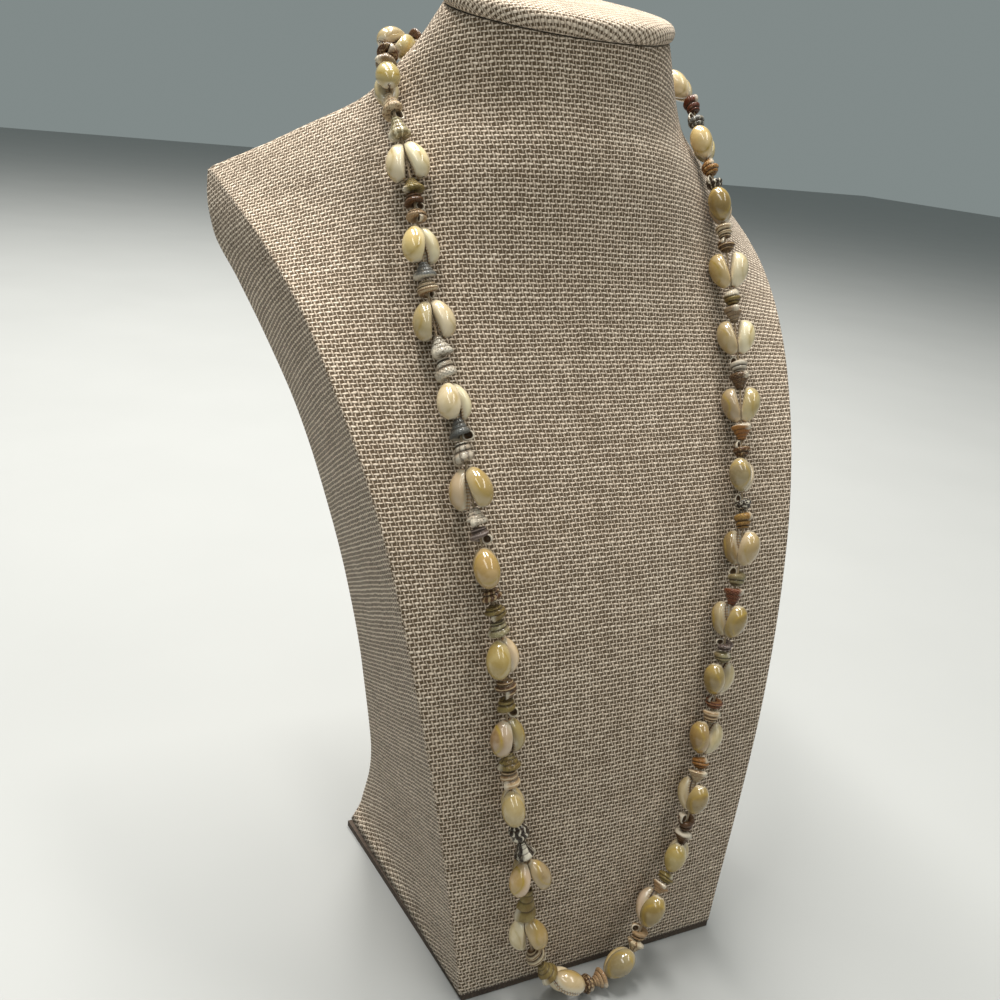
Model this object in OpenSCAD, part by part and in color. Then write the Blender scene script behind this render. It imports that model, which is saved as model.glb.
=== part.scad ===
// Cowrie shell necklace on a neck bust.
// A long single string of paired cowries with small sea shells between them lies over a
// cloth covered display bust. Millimetres, +Z up, front towards -Y, origin under the middle.

/* [Neck bust] */
// Height of the top of the neck, at its middle
stand_h = 371.5; // [340:0.5:400]
// Width across the shoulder tips
shoulder_w = 263; // [240:1:290]
// Width of the front panel at the foot
foot_front_w = 123; // [110:1:135]
// Width of the back at the foot
foot_back_w = 154; // [140:1:168]
// Width of the neck at its top
neck_w = 98; // [90:1:106]
// Depth from the foot's front edge to the shoulder tips
stand_d = 175; // [160:1:190]
// Lean of the neck's top, in degrees
neck_tilt = 13.5; // [8:0.5:18]
// Thickness of the board under the bust
board_t = 3; // [2:0.5:6]
// How far the board lies inside the cloth all round
board_inset = 0.6; // [0:0.1:2]
// Thickness of the padded cap on the neck
cap_t = 8; // [5:0.5:12]
// How far the cap reaches out past the neck
cap_lip = 1.2; // [0:0.1:3]

/* [Cowries] */
// Length of a cowrie
cowrie_l = 15; // [13:0.1:15.4]
// Width of a cowrie
cowrie_w = 9.7; // [8.5:0.1:10.2]
// Height of a cowrie, from its flat base to its back
cowrie_h = 7.3; // [6.4:0.1:7.8]
// Angle between the thread and a cowrie of a pair
pair_splay = 12; // [9:0.5:14]
// Angle between the thread and a cowrie of a group of three
trio_splay = 26; // [24:0.5:30]
// How far the pierced tip of a cowrie lies across the thread
tip_sink = 1; // [0.6:0.1:1.4]
// Largest distance that the lowest shells hang in front of the cloth
swing = 6; // [2:0.5:9]

/* [Small shells] */
// Width of a cone shell's mouth
cone_d = 8; // [6.6:0.1:8.6]
// Width of a collar shell's rim
collar_d = 7.4; // [6:0.1:8]
// Width of a turban shell
turban_d = 7; // [5.8:0.1:7.6]
// How far a cone shell's tip reaches in between two cowries
nest = 1.3; // [0:0.1:1.6]

/* [Thread] */
// Thickness of the thread
thread_d = 0.8; // [0.5:0.1:1]

/* [Fit] */
// Gap between the thread and the side of a hole
hole_gap = 0.3; // [0.2:0.05:0.4]
// Gap between two shells on the thread
bead_gap = 0.4; // [0.2:0.05:0.8]
// Gap before the tips of a group of cowries
tip_gap = 0.8; // [0.5:0.05:1]
// Gap between a shell and the cloth that it lies on
seat_gap = 0.35; // [0.2:0.05:0.8]
// Gap between the bust and its cap and board
fit_gap = 0.3; // [0.1:0.05:0.5]

/* [Hidden] */
// Sections of the bust, from its foot up. HEIGHT is a share of the stand's height. FOLD_X and
// BACK_X run from 0 at the foot's (above the shoulders: the neck's) half width to 1 at the
// shoulders' half width, and say where the front panel folds and where the back's edge is.
// FOLD_Y, FRONT_Y, BACK_Y and BULGE are shares of the stand's depth. ROUND and FULL shape the
// front's curve, and LEAN is the share of the neck's tilt that a section has.
HEIGHT = 0;
FOLD_X = 1;
FOLD_Y = 2;
FRONT_Y = 3;
ROUND = 4;
FULL = 5;
BACK_X = 6;
BACK_Y = 7;
BULGE = 8;
LEAN = 9;
sections = [
    [0.000, 0.000, 0.000, 0.000, 2.20, 1.00, 0.000, 0.657, 0.000, 0.00],
    [0.032, 0.021, 0.007, 0.002, 2.20, 1.00, -0.147, 0.674, 0.000, 0.00],
    [0.089, 0.064, 0.020, 0.007, 2.20, 1.00, -0.183, 0.651, 0.000, 0.00],
    [0.188, 0.143, 0.045, 0.027, 2.20, 1.00, -0.092, 0.600, 0.000, 0.00],
    [0.269, 0.210, 0.070, 0.053, 2.20, 1.00, -0.009, 0.600, 0.000, 0.00],
    [0.377, 0.307, 0.122, 0.109, 2.20, 1.00, 0.101, 0.660, 0.000, 0.00],
    [0.485, 0.404, 0.194, 0.186, 2.20, 1.00, 0.257, 0.749, 0.000, 0.00],
    [0.565, 0.493, 0.277, 0.265, 2.20, 1.00, 0.413, 0.811, 0.000, 0.00],
    [0.646, 0.607, 0.400, 0.354, 2.20, 1.00, 0.633, 0.871, 0.000, 0.00],
    [0.705, 0.697, 0.520, 0.411, 2.30, 1.00, 0.817, 0.914, 0.000, 0.00],
    [0.754, 0.800, 0.669, 0.447, 2.40, 1.00, 0.972, 0.954, 0.000, 0.00],
    [0.786, 0.886, 0.811, 0.464, 2.45, 1.00, 1.000, 0.980, 0.000, 0.00],
    [0.816, 0.971, 0.977, 0.477, 2.50, 1.00, 0.982, 1.000, 0.000, 0.00],
    [0.832, 0.861, 0.949, 0.483, 2.50, 1.00, 0.867, 0.971, 0.029, 0.00],
    [0.848, 0.733, 0.914, 0.488, 2.50, 1.00, 0.739, 0.934, 0.057, 0.00],
    [0.875, 0.533, 0.860, 0.501, 2.45, 1.02, 0.537, 0.877, 0.091, 0.00],
    [0.904, 0.309, 0.803, 0.518, 2.30, 1.10, 0.312, 0.817, 0.120, 0.24],
    [0.931, 0.200, 0.774, 0.533, 2.20, 1.25, 0.202, 0.786, 0.137, 0.45],
    [0.964, 0.091, 0.743, 0.545, 2.10, 1.60, 0.093, 0.751, 0.151, 0.71],
    [1.000, 0.000, 0.722, 0.554, 2.00, 2.00, 0.000, 0.729, 0.160, 1.00],
];
section_count = len(sections);
// The height share of the shoulder tips, where the widths begin to follow the neck
tips_at = 0.816;

// Forms of the small shells: outlines as [share of the length, share of the half width]
CONE = 0;
COLLAR = 1;
TURBAN = 2;
outlines = [
    [[0, 0.27], [0.25, 0.38], [0.8, 0.96], [0.9, 1], [1, 0.6]],
    [[0, 0.46], [0.12, 0.66], [0.5, 0.74], [0.78, 1], [0.9, 1], [1, 0.6]],
    [[0, 0.4], [0.2, 0.76], [0.45, 1], [0.6, 0.98], [0.85, 0.7], [1, 0.42]],
];
small_d = [cone_d, collar_d, turban_d];

// The string's route, a row for each group of cowries, from the left of the neck down to the
// bottom and up to the right of the neck, and then behind it. UP is a share of the stand's
// height, ROUND_AT the place round the bust in degrees (0 in front, 90 at the right, 180
// behind), TURN the group's turn about the thread in degrees (0 points out from the cloth),
// COUNT its cowries, SIZE their size as a share, OUT a share of the swing in front of the
// cloth, and AFTER the small shells that follow it.
UP = 0;
ROUND_AT = 1;
TURN = 2;
COUNT = 3;
SIZE = 4;
OUT = 5;
AFTER = 6;
groups = [
    [0.943, -119, 10, 2, 0.98, 0.25, [CONE, CONE]],
    [0.913, -67.5, -40, 2, 0.98, 0.08, [CONE, CONE]],
    [0.843, -36, 80, 2, 1.02, 0, [CONE, COLLAR, TURBAN]],
    [0.767, -33.5, 48, 2, 0.96, 0, [CONE, TURBAN]],
    [0.703, -36.5, 95, 2, 1, 0, [CONE, COLLAR]],
    [0.63, -37.5, 52, 2, 0.95, 0, [CONE, COLLAR]],
    [0.555, -39.5, 135, 2, 1.04, 0, [CONE, COLLAR]],
    [0.489, -39.5, 20, 2, 1, 0, [COLLAR, TURBAN, COLLAR]],
    [0.402, -37.5, 50, 2, 0.98, 0, [TURBAN, COLLAR]],
    [0.323, -38.5, 66, 2, 0.94, 0, [CONE, COLLAR]],
    [0.253, -39.5, 20, 2, 0.94, 0, [TURBAN, CONE]],
    [0.17, -34.5, 62, 3, 0.9, 0, [CONE]],
    [0.097, -36.5, 122, 2, 0.98, 0.4, [TURBAN, CONE]],
    [0.021, -20, -30, 2, 0.98, 0.9, [TURBAN, CONE]],
    [0.024, 6, -45, 2, 1, 0.85, [CONE, COLLAR]],
    [0.089, 16, 160, 2, 1, 0.2, [CONE, TURBAN]],
    [0.138, 27, -50, 2, 0.92, 0, [CONE, COLLAR]],
    [0.217, 28.5, 180, 2, 0.94, 0.02, [CONE, TURBAN]],
    [0.277, 33, -90, 2, 0.94, 0, [COLLAR, TURBAN]],
    [0.344, 35.5, -75, 2, 0.94, 0, [TURBAN, COLLAR]],
    [0.406, 35.5, -160, 2, 0.96, 0, [CONE, TURBAN]],
    [0.48, 39.5, -160, 2, 0.98, 0, [COLLAR, TURBAN]],
    [0.55, 40, -50, 2, 0.94, 0, [TURBAN, CONE]],
    [0.618, 40, -130, 2, 1, 0, [CONE, TURBAN]],
    [0.685, 39, -125, 2, 1, 0, [CONE, TURBAN]],
    [0.754, 35, -135, 2, 1.04, 0, [TURBAN, COLLAR]],
    [0.822, 32.5, -70, 2, 1, 0, [TURBAN, TURBAN]],
    [0.883, 49.5, -80, 2, 0.98, 0, [TURBAN, COLLAR]],
    [0.94, 95.5, -120, 2, 1, 0.29, [COLLAR, CONE]],
    [0.953, 130, 70, 2, 0.96, 0, [CONE, TURBAN]],
    [0.957, 158, -80, 2, 1, 0, [CONE, COLLAR]],
    [0.957, -175, 100, 2, 0.98, 0, [CONE, TURBAN]],
    [0.953, -147, -70, 2, 0.96, 0, [CONE, TURBAN]],
];
group_count = len(groups);
// The small shells after these groups belong to the left half of the string
left_first = 31;
left_last = 13;

// Steps of the meshes: the most height between two rings of the bust, the points of its front,
// its back and the cap, of the thread's ring, along a cowrie and round a shell
ring_step = 12;
front_steps = 28;
back_steps = 20;
cap_steps = 48;
thread_sides = 8;
egg_steps = 12;
shell_sides = 24;
// The height share that cloth_normal looks up and down
probe = 0.004;

function two(i) = str(i < 10 ? "0" : "", i);
function group_name(i) = str("cowries_", two(i + 1));

function mix(a, b, share) = a + (b - a) * share;
function unit(v) = v / norm(v);

// A smooth curve through one column of the sections, which never overshoots
function rise(c, i) =
    (sections[i + 1][c] - sections[i][c]) / (sections[i + 1][HEIGHT] - sections[i][HEIGHT]);
function knot_slope(c, i) =
    i == 0 ? rise(c, 0) :
    i == section_count - 1 ? rise(c, section_count - 2) :
    let (a = rise(c, i - 1), b = rise(c, i))
    a * b <= 0 ? 0 : 2 * a * b / (a + b);
function section_below(h) =
    max([for (i = [0:section_count - 2]) if (sections[i][HEIGHT] <= max(h, 0)) i]);
function column(c, h, i) =
    let (
        low = sections[i][HEIGHT],
        span = sections[i + 1][HEIGHT] - low,
        t = (h - low) / span
    )
    sections[i][c] * (2 * pow(t, 3) - 3 * pow(t, 2) + 1)
    + sections[i + 1][c] * (3 * pow(t, 2) - 2 * pow(t, 3))
    + knot_slope(c, i) * span * (pow(t, 3) - 2 * pow(t, 2) + t)
    + knot_slope(c, i + 1) * span * (pow(t, 3) - pow(t, 2));
function section(h) =
    let (i = section_below(h))
    concat([h], [for (c = [FOLD_X:LEAN]) column(c, h, i)]);

// A point on the cloth, from a section and a place round it in degrees
function half_width(s, share, foot_w) =
    mix(s[HEIGHT] <= tips_at ? foot_w / 2 : neck_w / 2, shoulder_w / 2, share);
function front_y(s, a) =
    let (hollow = pow(max(0, 1 - pow(abs(sin(a)), s[ROUND])), 1 / s[FULL]))
    stand_d * mix(s[FOLD_Y], s[FRONT_Y], hollow);
function back_y(s, a) = stand_d * (s[BACK_Y] + s[BULGE] * abs(cos(a)));
function leaned(s, x, y) =
    [x, y, s[HEIGHT] * stand_h
        + s[LEAN] * tan(neck_tilt) * (y - stand_d * sections[section_count - 1][FOLD_Y])];
function front_point(s, a) = leaned(s, half_width(s, s[FOLD_X], foot_front_w) * sin(a), front_y(s, a));
function back_point(s, a) = leaned(s, half_width(s, s[BACK_X], foot_back_w) * sin(a), back_y(s, a));
function on_cloth(h, a) =
    abs(a) <= 90 ? front_point(section(h), a) : back_point(section(h), a);
function cloth_normal(h, a) =
    let (
        side = abs(a) <= 90,
        a0 = side ? max(a - 1, -90) : a - 1,
        a1 = side ? min(a + 1, 90) : a + 1
    )
    unit(cross(on_cloth(h, a1) - on_cloth(h, a0), on_cloth(h + probe, a) - on_cloth(h - probe, a)));

// The cowries of a group: where they reach, and where the thread runs through them
base_depth = cowrie_h - cowrie_w / 2;
// Where a cowrie is widest, as a share of its length from the tip
widest_at = 0.62;
function splay_of(g) = g[COUNT] > 2 ? trio_splay : pair_splay;
function axis_offset(g) = base_depth - tip_sink + widest_at * cowrie_l * sin(splay_of(g));
function towards_cloth(g) = max([for (k = [0:g[COUNT] - 1]) -cos(g[TURN] + 360 * k / g[COUNT])]);
function stand_off(g) = (cowrie_w / 2 + axis_offset(g) * max(0, towards_cloth(g))) * g[SIZE] + seat_gap;
function group_centre(g) =
    on_cloth(g[UP], g[ROUND_AT])
    + cloth_normal(g[UP], g[ROUND_AT]) * (stand_off(g) + swing * g[OUT]);
centres = [for (g = groups) group_centre(g)];
normals = [for (g = groups) cloth_normal(g[UP], g[ROUND_AT])];

// The whole route: a closed curve through the groups' centres
function wrap(i) = (i + group_count) % group_count;
function heading(i) = (centres[wrap(i + 1)] - centres[wrap(i - 1)]) / 2;
function along(i, t) =
    centres[wrap(i)] * (2 * pow(t, 3) - 3 * pow(t, 2) + 1)
    + centres[wrap(i + 1)] * (3 * pow(t, 2) - 2 * pow(t, 3))
    + heading(i) * (pow(t, 3) - 2 * pow(t, 2) + t)
    + heading(wrap(i + 1)) * (pow(t, 3) - pow(t, 2));
function group_length(i) = cowrie_l * groups[i][SIZE];
function start_at(i) = 1 - (group_length(i) / 2 + tip_gap) / norm(heading(i));
function group_start(i) = along(wrap(i - 1), start_at(i));
function nested(i) = groups[i][AFTER][0] == CONE ? nest : 0;
function group_end_at(i) = (group_length(i) / 2 - nested(i)) / norm(heading(i));
// Where each small shell after group i begins, and where the last of them ends
function small_stops(i) =
    let (count = len(groups[i][AFTER]))
    [for (k = [0:count]) along(i, mix(group_end_at(i), start_at(wrap(i + 1)), k / count))];
stops = [for (i = [0:group_count - 1]) small_stops(i)];
thread_points = [for (i = [0:group_count - 1]) for (p = stops[i]) p];

// The whole thing stands with its middle over the origin
function shell_way(i, k) =
    let (
        t = unit(heading(i)),
        n = unit(normals[i] - t * (normals[i] * t)),
        a = groups[i][TURN] + 360 * k / groups[i][COUNT]
    )
    n * cos(a) + cross(t, n) * sin(a);
function shell_front(i, k) =
    centres[i].y + (axis_offset(groups[i]) * shell_way(i, k).y - cowrie_w / 2) * groups[i][SIZE];
front_most = min([for (i = [0:group_count - 1]) for (k = [0:groups[i][COUNT] - 1]) shell_front(i, k)]);
middle_y = (front_most + stand_d) / 2;
module placed() translate([0, -middle_y, 0]) children();

// Closed meshes from rings of points, all with the same number of points
function ring_middle(ring) = [for (c = [0:2]) mean([for (p = ring) p[c]])];
function mean(values) = values * [for (v = values) 1] / len(values);
module loft(rings) {
    n = len(rings[0]);
    last = len(rings) - 1;
    foot = len(rings) * n;
    points = concat(
        [for (ring = rings) for (p = ring) p],
        [ring_middle(rings[0]), ring_middle(rings[last])]
    );
    sides = [for (r = [0:last - 1]) for (i = [0:n - 1])
        let (a = r * n + i, b = r * n + (i + 1) % n)
        each [[a, a + n, b], [b, a + n, b + n]]];
    lids = [for (i = [0:n - 1])
        let (j = (i + 1) % n)
        each [[foot, i, j], [foot + 1, last * n + j, last * n + i]]];
    polyhedron(points = points, faces = concat(sides, lids));
}

// One section of the bust: the front from left to right, and then the back
function ring_at(h) =
    let (s = section(h))
    concat(
        [for (k = [0:front_steps]) front_point(s, -90 + 180 * k / front_steps)],
        [for (k = [0:back_steps]) back_point(s, 90 + 180 * k / back_steps)]
    );
body_bottom = (board_t + fit_gap) / stand_h;
body_heights = concat(
    [body_bottom],
    [for (i = [0:section_count - 2])
        let (
            low = sections[i][HEIGHT],
            high = sections[i + 1][HEIGHT],
            steps = ceil((high - low) * stand_h / ring_step)
        )
        for (k = [1:steps]) mix(low, high, k / steps)]
);

module bust_body() {
    color("tan") placed() loft([for (h = body_heights) ring_at(h)]);
}

// The board under the bust, a little inside the cloth
module base_board() {
    foot = ring_at(0);
    centre = ring_middle(foot);
    shrink = 1 - 2 * board_inset / foot_front_w;
    color("saddlebrown") placed()
        linear_extrude(board_t)
            polygon([for (p = foot) [p.x * shrink, mix(centre.y, p.y, shrink)]]);
}

// The padded cap: its edge is round and its top rises a little to the middle.
// Each row is [share of the half width, share of the thickness].
cap_rows = [[0.9, 0], [0.975, 0.06], [1, 0.28], [1, 0.46], [0.985, 0.66],
    [0.945, 0.83], [0.87, 0.94], [0.6, 1], [0.2, 1.02]];
module neck_cap() {
    front = on_cloth(1, 0);
    back = on_cloth(1, 180);
    middle = (front + back) / 2;
    half_d = norm(back - front) / 2 + cap_lip;
    half_w = neck_w / 2 + cap_lip;
    color("tan") placed()
        translate(middle) rotate([neck_tilt, 0, 0]) translate([0, 0, fit_gap])
            loft([for (row = cap_rows)
                [for (k = [0:cap_steps - 1])
                    let (a = -360 * k / cap_steps)
                    [-half_w * row[0] * cos(a), half_d * row[0] * sin(a), cap_t * row[1]]]]);
}

// The thread: a thin tube that is straight inside each shell. Its points have a steady frame
// carried along, so that the tube never twists.
thread_count = len(thread_points);
function bisector(i) =
    let (
        p = thread_points[i],
        before = thread_points[(i + thread_count - 1) % thread_count],
        after = thread_points[(i + 1) % thread_count]
    )
    unit(unit(p - before) + unit(after - p));
function carried(u, d) = unit(u - d * (u * d));
function frames(i, u) =
    i == thread_count ? [] :
    concat([u], frames(i + 1, carried(u, bisector((i + 1) % thread_count))));
thread_frames = frames(0, carried([0, 0, 1], bisector(0)));
// The ends of the carried frame differ by this turn, which is shared out over the loop
closing_turn =
    let (
        d = bisector(0),
        first = thread_frames[0],
        last = carried(thread_frames[thread_count - 1], d)
    )
    atan2(cross(last, first) * d, last * first);
function thread_ring(i) =
    let (d = bisector(i), u = thread_frames[i], v = cross(d, u))
    [for (k = [0:thread_sides - 1])
        let (a = 360 * k / thread_sides + closing_turn * i / thread_count)
        thread_points[i] + thread_d / 2 * (u * cos(a) + v * sin(a))];
module thread() {
    n = thread_sides;
    points = [for (i = [0:thread_count - 1]) for (p = thread_ring(i)) p];
    faces = [for (i = [0:thread_count - 1]) for (k = [0:n - 1])
        let (
            a = i * n + k,
            b = i * n + (k + 1) % n,
            c = ((i + 1) % thread_count) * n + k,
            d = ((i + 1) % thread_count) * n + (k + 1) % n
        )
        each [[a, b, c], [b, d, c]]];
    color("burlywood") placed() polyhedron(points = points, faces = faces);
}

// A cowrie along +X from its pierced tip, its flat base down. Its radius is a power of a
// parabola, egg_full, and egg_shift moves its widest place away from the tip.
egg_shift = 1.12;
egg_full = 0.54;
function egg_radius(share) =
    let (v = pow(share, egg_shift))
    cowrie_w / 2 * pow(max(0, 4 * v * (1 - v)), egg_full);
module cowrie() {
    difference() {
        rotate([0, 90, 0])
            rotate_extrude($fn = shell_sides)
                polygon(concat(
                    [[0, 0]],
                    [for (k = [1:egg_steps - 1])
                        let (share = (1 - cos(180 * k / egg_steps)) / 2)
                        [egg_radius(share), share * cowrie_l]],
                    [[0, cowrie_l]]
                ));
        translate([-cowrie_w, -cowrie_w, -base_depth - cowrie_w])
            cube([cowrie_l + 2 * cowrie_w, 2 * cowrie_w, cowrie_w]);
    }
}

// The space that one cowrie of a group may fill: its own sector round the thread
module sector(count) {
    t = 180 / count;
    reach = cowrie_l + cowrie_w;
    start = bead_gap / 2 / sin(t);
    rotate([90, 0, 90]) translate([0, 0, -cowrie_l])
        linear_extrude(reach + 2 * cowrie_l)
            polygon([
                [0, start],
                [reach * sin(t), start + reach * cos(t)],
                [reach, 2 * reach],
                [-reach, 2 * reach],
                [-reach * sin(t), start + reach * cos(t)]
            ]);
}

// A group of cowries round the thread, which runs along +X from the origin
module cowrie_group(g) {
    hole_r = thread_d / 2 + hole_gap;
    scale(g[SIZE]) {
        for (k = [0:g[COUNT] - 1]) {
            rotate([g[TURN] + 360 * k / g[COUNT], 0, 0]) {
                difference() {
                    intersection() {
                        translate([0, 0, base_depth - tip_sink]) rotate([0, -splay_of(g), 0]) cowrie();
                        sector(g[COUNT]);
                    }
                    translate([-tip_gap, 0, 0]) rotate([0, 90, 0])
                        cylinder(h = 2 * cowrie_l, r = hole_r / g[SIZE], $fn = shell_sides);
                }
            }
        }
    }
}

// Lays children along the thread from a to b, with their +Z away from the cloth
module strung(a, b, out) {
    x = unit(b - a);
    z = unit(out - x * (out * x));
    y = cross(z, x);
    placed() multmatrix([
        [x.x, y.x, z.x, a.x],
        [x.y, y.y, z.y, a.y],
        [x.z, y.z, z.z, a.z],
        [0, 0, 0, 1]
    ]) children();
}
module cowries(i) {
    color("ivory") strung(group_start(i), stops[i][0], normals[i])
        translate([tip_gap, 0, 0]) cowrie_group(groups[i]);
}

// Turns the Z axis of its children to a direction
module toward(d) {
    across = norm([d.x, d.y]);
    rotate([0, atan2(across, d.z), atan2(d.y, d.x)]) children();
}

// A small shell from the thread's point a to b, drilled for the thread
wall = 0.3;
module small_shell(form, a, b) {
    length = norm(b - a) - bead_gap;
    hole_r = thread_d / 2 + hole_gap;
    half_d = small_d[form] / 2;
    placed() translate(a + unit(b - a) * bead_gap / 2) toward(b - a)
        rotate_extrude($fn = shell_sides)
            polygon(concat(
                [[hole_r, 0]],
                [for (p = outlines[form]) [max(half_d * p[1], hole_r + wall), length * p[0]]],
                [[hole_r, length]]
            ));
}
module small_shells(i) {
    for (k = [0:len(groups[i][AFTER]) - 1])
        small_shell(groups[i][AFTER][k], stops[i][k], stops[i][k + 1]);
}
function in_left(i) = i <= left_last || i >= left_first;
module small_shells_left() {
    color("peru") for (i = [0:group_count - 1]) if (in_left(i)) small_shells(i);
}
module small_shells_right() {
    color("peru") for (i = [0:group_count - 1]) if (!in_left(i)) small_shells(i);
}

bust_body();
neck_cap();
base_board();
thread();
small_shells_left();
small_shells_right();
for (i = [0:group_count - 1]) cowries(i);
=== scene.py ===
"""Looks of the cowrie shell necklace on its neck bust: linen, cowries and small sea shells."""

import math
from functools import reduce

import bpy
import numpy as np
from mathutils import Matrix, Vector


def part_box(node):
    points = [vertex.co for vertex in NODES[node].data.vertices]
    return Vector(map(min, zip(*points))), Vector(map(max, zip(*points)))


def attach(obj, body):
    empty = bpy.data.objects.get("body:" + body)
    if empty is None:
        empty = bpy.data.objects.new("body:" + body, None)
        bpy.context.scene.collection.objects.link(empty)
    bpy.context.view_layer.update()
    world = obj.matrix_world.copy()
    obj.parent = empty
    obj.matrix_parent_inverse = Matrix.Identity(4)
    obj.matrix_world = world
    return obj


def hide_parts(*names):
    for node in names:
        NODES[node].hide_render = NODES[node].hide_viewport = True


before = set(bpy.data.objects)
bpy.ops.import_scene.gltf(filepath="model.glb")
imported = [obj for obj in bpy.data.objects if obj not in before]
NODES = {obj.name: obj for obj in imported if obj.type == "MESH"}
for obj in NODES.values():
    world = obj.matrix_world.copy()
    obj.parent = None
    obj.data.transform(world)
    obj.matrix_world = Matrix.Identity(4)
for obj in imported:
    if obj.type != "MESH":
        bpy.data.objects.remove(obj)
bpy.context.view_layer.update()
MM = 0.001

# Camera, from the photograph's viewing angle, its y measured from the foot's front edge
CAMERA_FROM_FOOT = (-0.19443, -0.25568, 0.33576)
CAMERA_RIGHT = (0.9079, -0.4078, 0.0967)
CAMERA_UP = (0.0707, 0.3764, 0.9238)
CAMERA_LENS = 34.66
CAMERA_SENSOR = 36
CAMERA_CLIP = (0.01, 50)

# Ceiling panels that run along Y, as (name, x, first y, last y, width, watts)
CEILING_LIGHTS = [
    ("back_left", -0.35, -0.1, 1.7, 0.2, 50),
    ("back_right", 0.35, -0.1, 1.7, 0.2, 44),
    ("front_left", -0.9, -2.3, -0.3, 0.3, 9),
    ("front_right", 0.9, -2.3, -0.3, 0.3, 12),
]
LIGHT_HEIGHT = 1.9
LIGHT_AIM_HEIGHT = 0.2
LIGHT_COLOUR = (1.0, 0.975, 0.925)
WORLD_COLOUR = (0.296, 0.342, 0.337)
WORLD_STRENGTH = 0.75
FLOOR_HALF = 6.0
FLOOR_COLOURS = ((0.34, 0.345, 0.34), (0.37, 0.375, 0.37))

# The bust's sizes and sections, as the part's source has them, in metres
STAND_H = 0.3715
SHOULDER_W = 0.263
FOOT_FRONT_W = 0.123
FOOT_BACK_W = 0.154
NECK_W = 0.098
STAND_D = 0.175
NECK_TILT = math.radians(13.5)
BODY_BOTTOM = 0.0033
CAP_T = 0.008
CAP_LIP = 0.0012
CAP_GAP = 0.0003
TIPS_AT = 0.816
SECTION_COLUMNS = ("height", "fold_x", "fold_y", "front_y", "round", "full",
                   "back_x", "back_y", "bulge", "lean")
SECTIONS = np.array([
    [0.000, 0.000, 0.000, 0.000, 2.20, 1.00, 0.000, 0.657, 0.000, 0.00],
    [0.032, 0.021, 0.007, 0.002, 2.20, 1.00, -0.147, 0.674, 0.000, 0.00],
    [0.089, 0.064, 0.020, 0.007, 2.20, 1.00, -0.183, 0.651, 0.000, 0.00],
    [0.188, 0.143, 0.045, 0.027, 2.20, 1.00, -0.092, 0.600, 0.000, 0.00],
    [0.269, 0.210, 0.070, 0.053, 2.20, 1.00, -0.009, 0.600, 0.000, 0.00],
    [0.377, 0.307, 0.122, 0.109, 2.20, 1.00, 0.101, 0.660, 0.000, 0.00],
    [0.485, 0.404, 0.194, 0.186, 2.20, 1.00, 0.257, 0.749, 0.000, 0.00],
    [0.565, 0.493, 0.277, 0.265, 2.20, 1.00, 0.413, 0.811, 0.000, 0.00],
    [0.646, 0.607, 0.400, 0.354, 2.20, 1.00, 0.633, 0.871, 0.000, 0.00],
    [0.705, 0.697, 0.520, 0.411, 2.30, 1.00, 0.817, 0.914, 0.000, 0.00],
    [0.754, 0.800, 0.669, 0.447, 2.40, 1.00, 0.972, 0.954, 0.000, 0.00],
    [0.786, 0.886, 0.811, 0.464, 2.45, 1.00, 1.000, 0.980, 0.000, 0.00],
    [0.816, 0.971, 0.977, 0.477, 2.50, 1.00, 0.982, 1.000, 0.000, 0.00],
    [0.832, 0.861, 0.949, 0.483, 2.50, 1.00, 0.867, 0.971, 0.029, 0.00],
    [0.848, 0.733, 0.914, 0.488, 2.50, 1.00, 0.739, 0.934, 0.057, 0.00],
    [0.875, 0.533, 0.860, 0.501, 2.45, 1.02, 0.537, 0.877, 0.091, 0.00],
    [0.904, 0.309, 0.803, 0.518, 2.30, 1.10, 0.312, 0.817, 0.120, 0.24],
    [0.931, 0.200, 0.774, 0.533, 2.20, 1.25, 0.202, 0.786, 0.137, 0.45],
    [0.964, 0.091, 0.743, 0.545, 2.10, 1.60, 0.093, 0.751, 0.151, 0.71],
    [1.000, 0.000, 0.722, 0.554, 2.00, 2.00, 0.000, 0.729, 0.160, 1.00],
])

# Columns round a section of the bust's cloth: its front, a side, its back and a rounded fold
FRONT_COLUMNS = 109
SIDE_COLUMNS = 25
BACK_COLUMNS = 49
CORNER_COLUMNS = 5
FOLD_RADIUS = 0.0014
# A fold's radius is at most this share of the side between two folds
FOLD_SHARE = 0.4
# Points of the curves that the columns are spaced along
FRONT_SAMPLES = 241
BACK_SAMPLES = 61
# Rows up the cloth, and those added beside the shoulder tips, as shares of the height
BUST_ROWS = 150
TIP_ROWS = (-0.006, -0.003, 0, 0.003, 0.006)

# The cap's section, as (share of the half width, share of the thickness), from under its edge
# to its middle
CAP_OUTLINE = [
    (0.86, 0.0), (0.93, 0.0), (0.968, 0.03), (0.99, 0.14), (1.0, 0.32), (0.998, 0.5), (0.984, 0.68),
    (0.955, 0.83), (0.9, 0.94), (0.8, 1.0), (0.6, 1.05), (0.35, 1.09), (0.08, 1.1),
]
CAP_ROWS = 49
CAP_COLUMNS = 144

# Spacing of the linen's threads: across the front, and up it
WARP_PITCH = 0.00155
WEFT_PITCH = 0.00176
# The side panels' rows drop towards the back by this angle
SIDE_GRAIN = math.radians(28)
# The cap's threads are turned from the front's by this angle, set closer and thicker
CAP_GRAIN = math.radians(-10)
CAP_CLOSER = 0.82
CAP_THICKER = 0.08
# Half thickness of the threads, what it gains from thread to thread and how it swells along
# them, as shares of their spacing
WARP_THICK = 0.14
WEFT_THICK = 0.155
THREAD_VARIES = 0.06
THREAD_SWELLS = 0.20
WARP_LEAN = 0.13
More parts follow.
